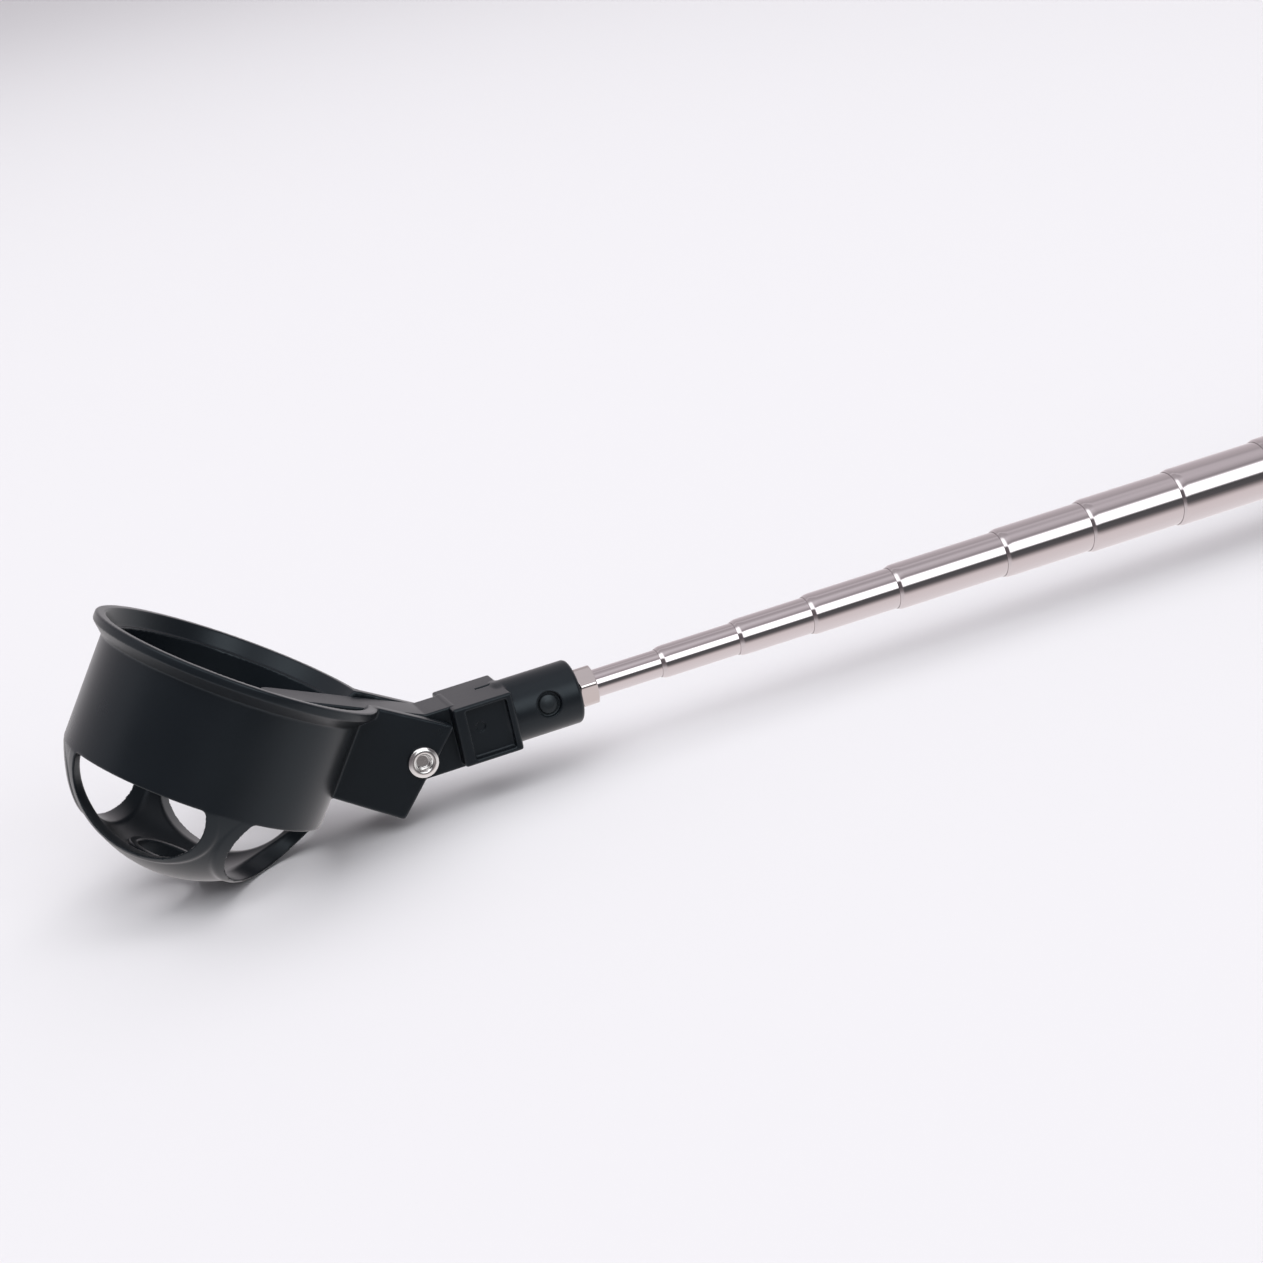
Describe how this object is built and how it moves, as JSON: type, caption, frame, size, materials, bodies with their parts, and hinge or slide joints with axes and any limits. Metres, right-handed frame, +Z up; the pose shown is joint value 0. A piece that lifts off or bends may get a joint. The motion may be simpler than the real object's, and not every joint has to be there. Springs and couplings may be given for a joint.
{
  "type": "telescopic ball retriever",
  "caption": "Telescopic ball retriever: hinged scoop cup with a lock finger on a slim steel telescopic shaft and a rubber grip.",
  "frame": {"origin": "on the ground, under the middle of the retriever as it lies at rest", "axes": "+X along the shaft from the cup to the handle, +Y across, along the hinge pin, +Z up"},
  "size_m": [0.4784, 0.058, 0.0586],
  "materials": {
    "scoop_plastic": "moulded, fine texture",
    "neck_plastic": "moulded, fine texture",
    "tube_steel": "polished stainless steel",
    "nut_steel": "nickel plated",
    "rivet_metal": "bright plated",
    "screw_steel": "black oxide",
    "ring_bronze": "spring bronze",
    "grip_rubber": "textured",
    "handle_plastic": "satin"
  },
  "bodies": {
    "handle": {"shaft_tube_9": "tube_steel", "tail_plug": "handle_plastic", "grip_collar": "handle_plastic", "handle_core": "handle_plastic", "handle_grip": "grip_rubber", "end_cap": "handle_plastic"},
    "stage_8": {"shaft_tube_8": "tube_steel", "friction_ring_8": "ring_bronze"},
    "stage_7": {"shaft_tube_7": "tube_steel", "friction_ring_7": "ring_bronze"},
    "stage_6": {"shaft_tube_6": "tube_steel", "friction_ring_6": "ring_bronze"},
    "stage_5": {"shaft_tube_5": "tube_steel", "friction_ring_5": "ring_bronze"},
    "stage_4": {"shaft_tube_4": "tube_steel", "friction_ring_4": "ring_bronze"},
    "stage_3": {"shaft_tube_3": "tube_steel", "friction_ring_3": "ring_bronze"},
    "stage_2": {"shaft_tube_2": "tube_steel", "friction_ring_2": "ring_bronze"},
    "stage_1_ring": {"friction_ring_1": "ring_bronze"},
    "neck": {"shaft_tube_1": "tube_steel", "tip_stud": "nut_steel", "lock_nut": "nut_steel", "pivot_neck": "neck_plastic", "neck_set_screw": "screw_steel"},
    "cup": {"scoop_cup": "scoop_plastic", "hinge_rivet": "rivet_metal"}
  },
  "joints": [
    {"name": "stage_8_slide", "type": "slide", "parent": "handle", "child": "stage_8", "axis": [-1, 0, 0], "range_m": [-0.0141, 0.1577]},
    {"name": "stage_7_slide", "type": "slide", "parent": "stage_8", "child": "stage_7", "axis": [-1, 0, 0], "range_m": [-0.012, 0.1682]},
    {"name": "stage_6_slide", "type": "slide", "parent": "stage_7", "child": "stage_6", "axis": [-1, 0, 0], "range_m": [-0.0107, 0.1795]},
    {"name": "stage_5_slide", "type": "slide", "parent": "stage_6", "child": "stage_5", "axis": [-1, 0, 0], "range_m": [-0.0154, 0.1848]},
    {"name": "stage_4_slide", "type": "slide", "parent": "stage_5", "child": "stage_4", "axis": [-1, 0, 0], "range_m": [-0.0099, 0.2003]},
    {"name": "stage_3_slide", "type": "slide", "parent": "stage_4", "child": "stage_3", "axis": [-1, 0, 0], "range_m": [-0.0067, 0.2135]},
    {"name": "stage_2_slide", "type": "slide", "parent": "stage_3", "child": "stage_2", "axis": [-1, 0, 0], "range_m": [-0.0074, 0.2228]},
    {"name": "stage_1_slide", "type": "slide", "parent": "stage_2", "child": "stage_1_ring", "axis": [-1, 0, 0], "range_m": [-0.0045, 0.2357]},
    {"name": "neck_swivel", "type": "hinge", "parent": "stage_1_ring", "child": "neck", "pos_m": [0.12659, 0, 0.01468], "axis": [1, 0, 0], "continuous": true},
    {"name": "cup_hinge", "type": "hinge", "parent": "neck", "child": "cup", "pos_m": [-0.17231, 0, 0.01278], "axis": [0, 1, 0], "range_deg": [-88, 0]}
  ]
}
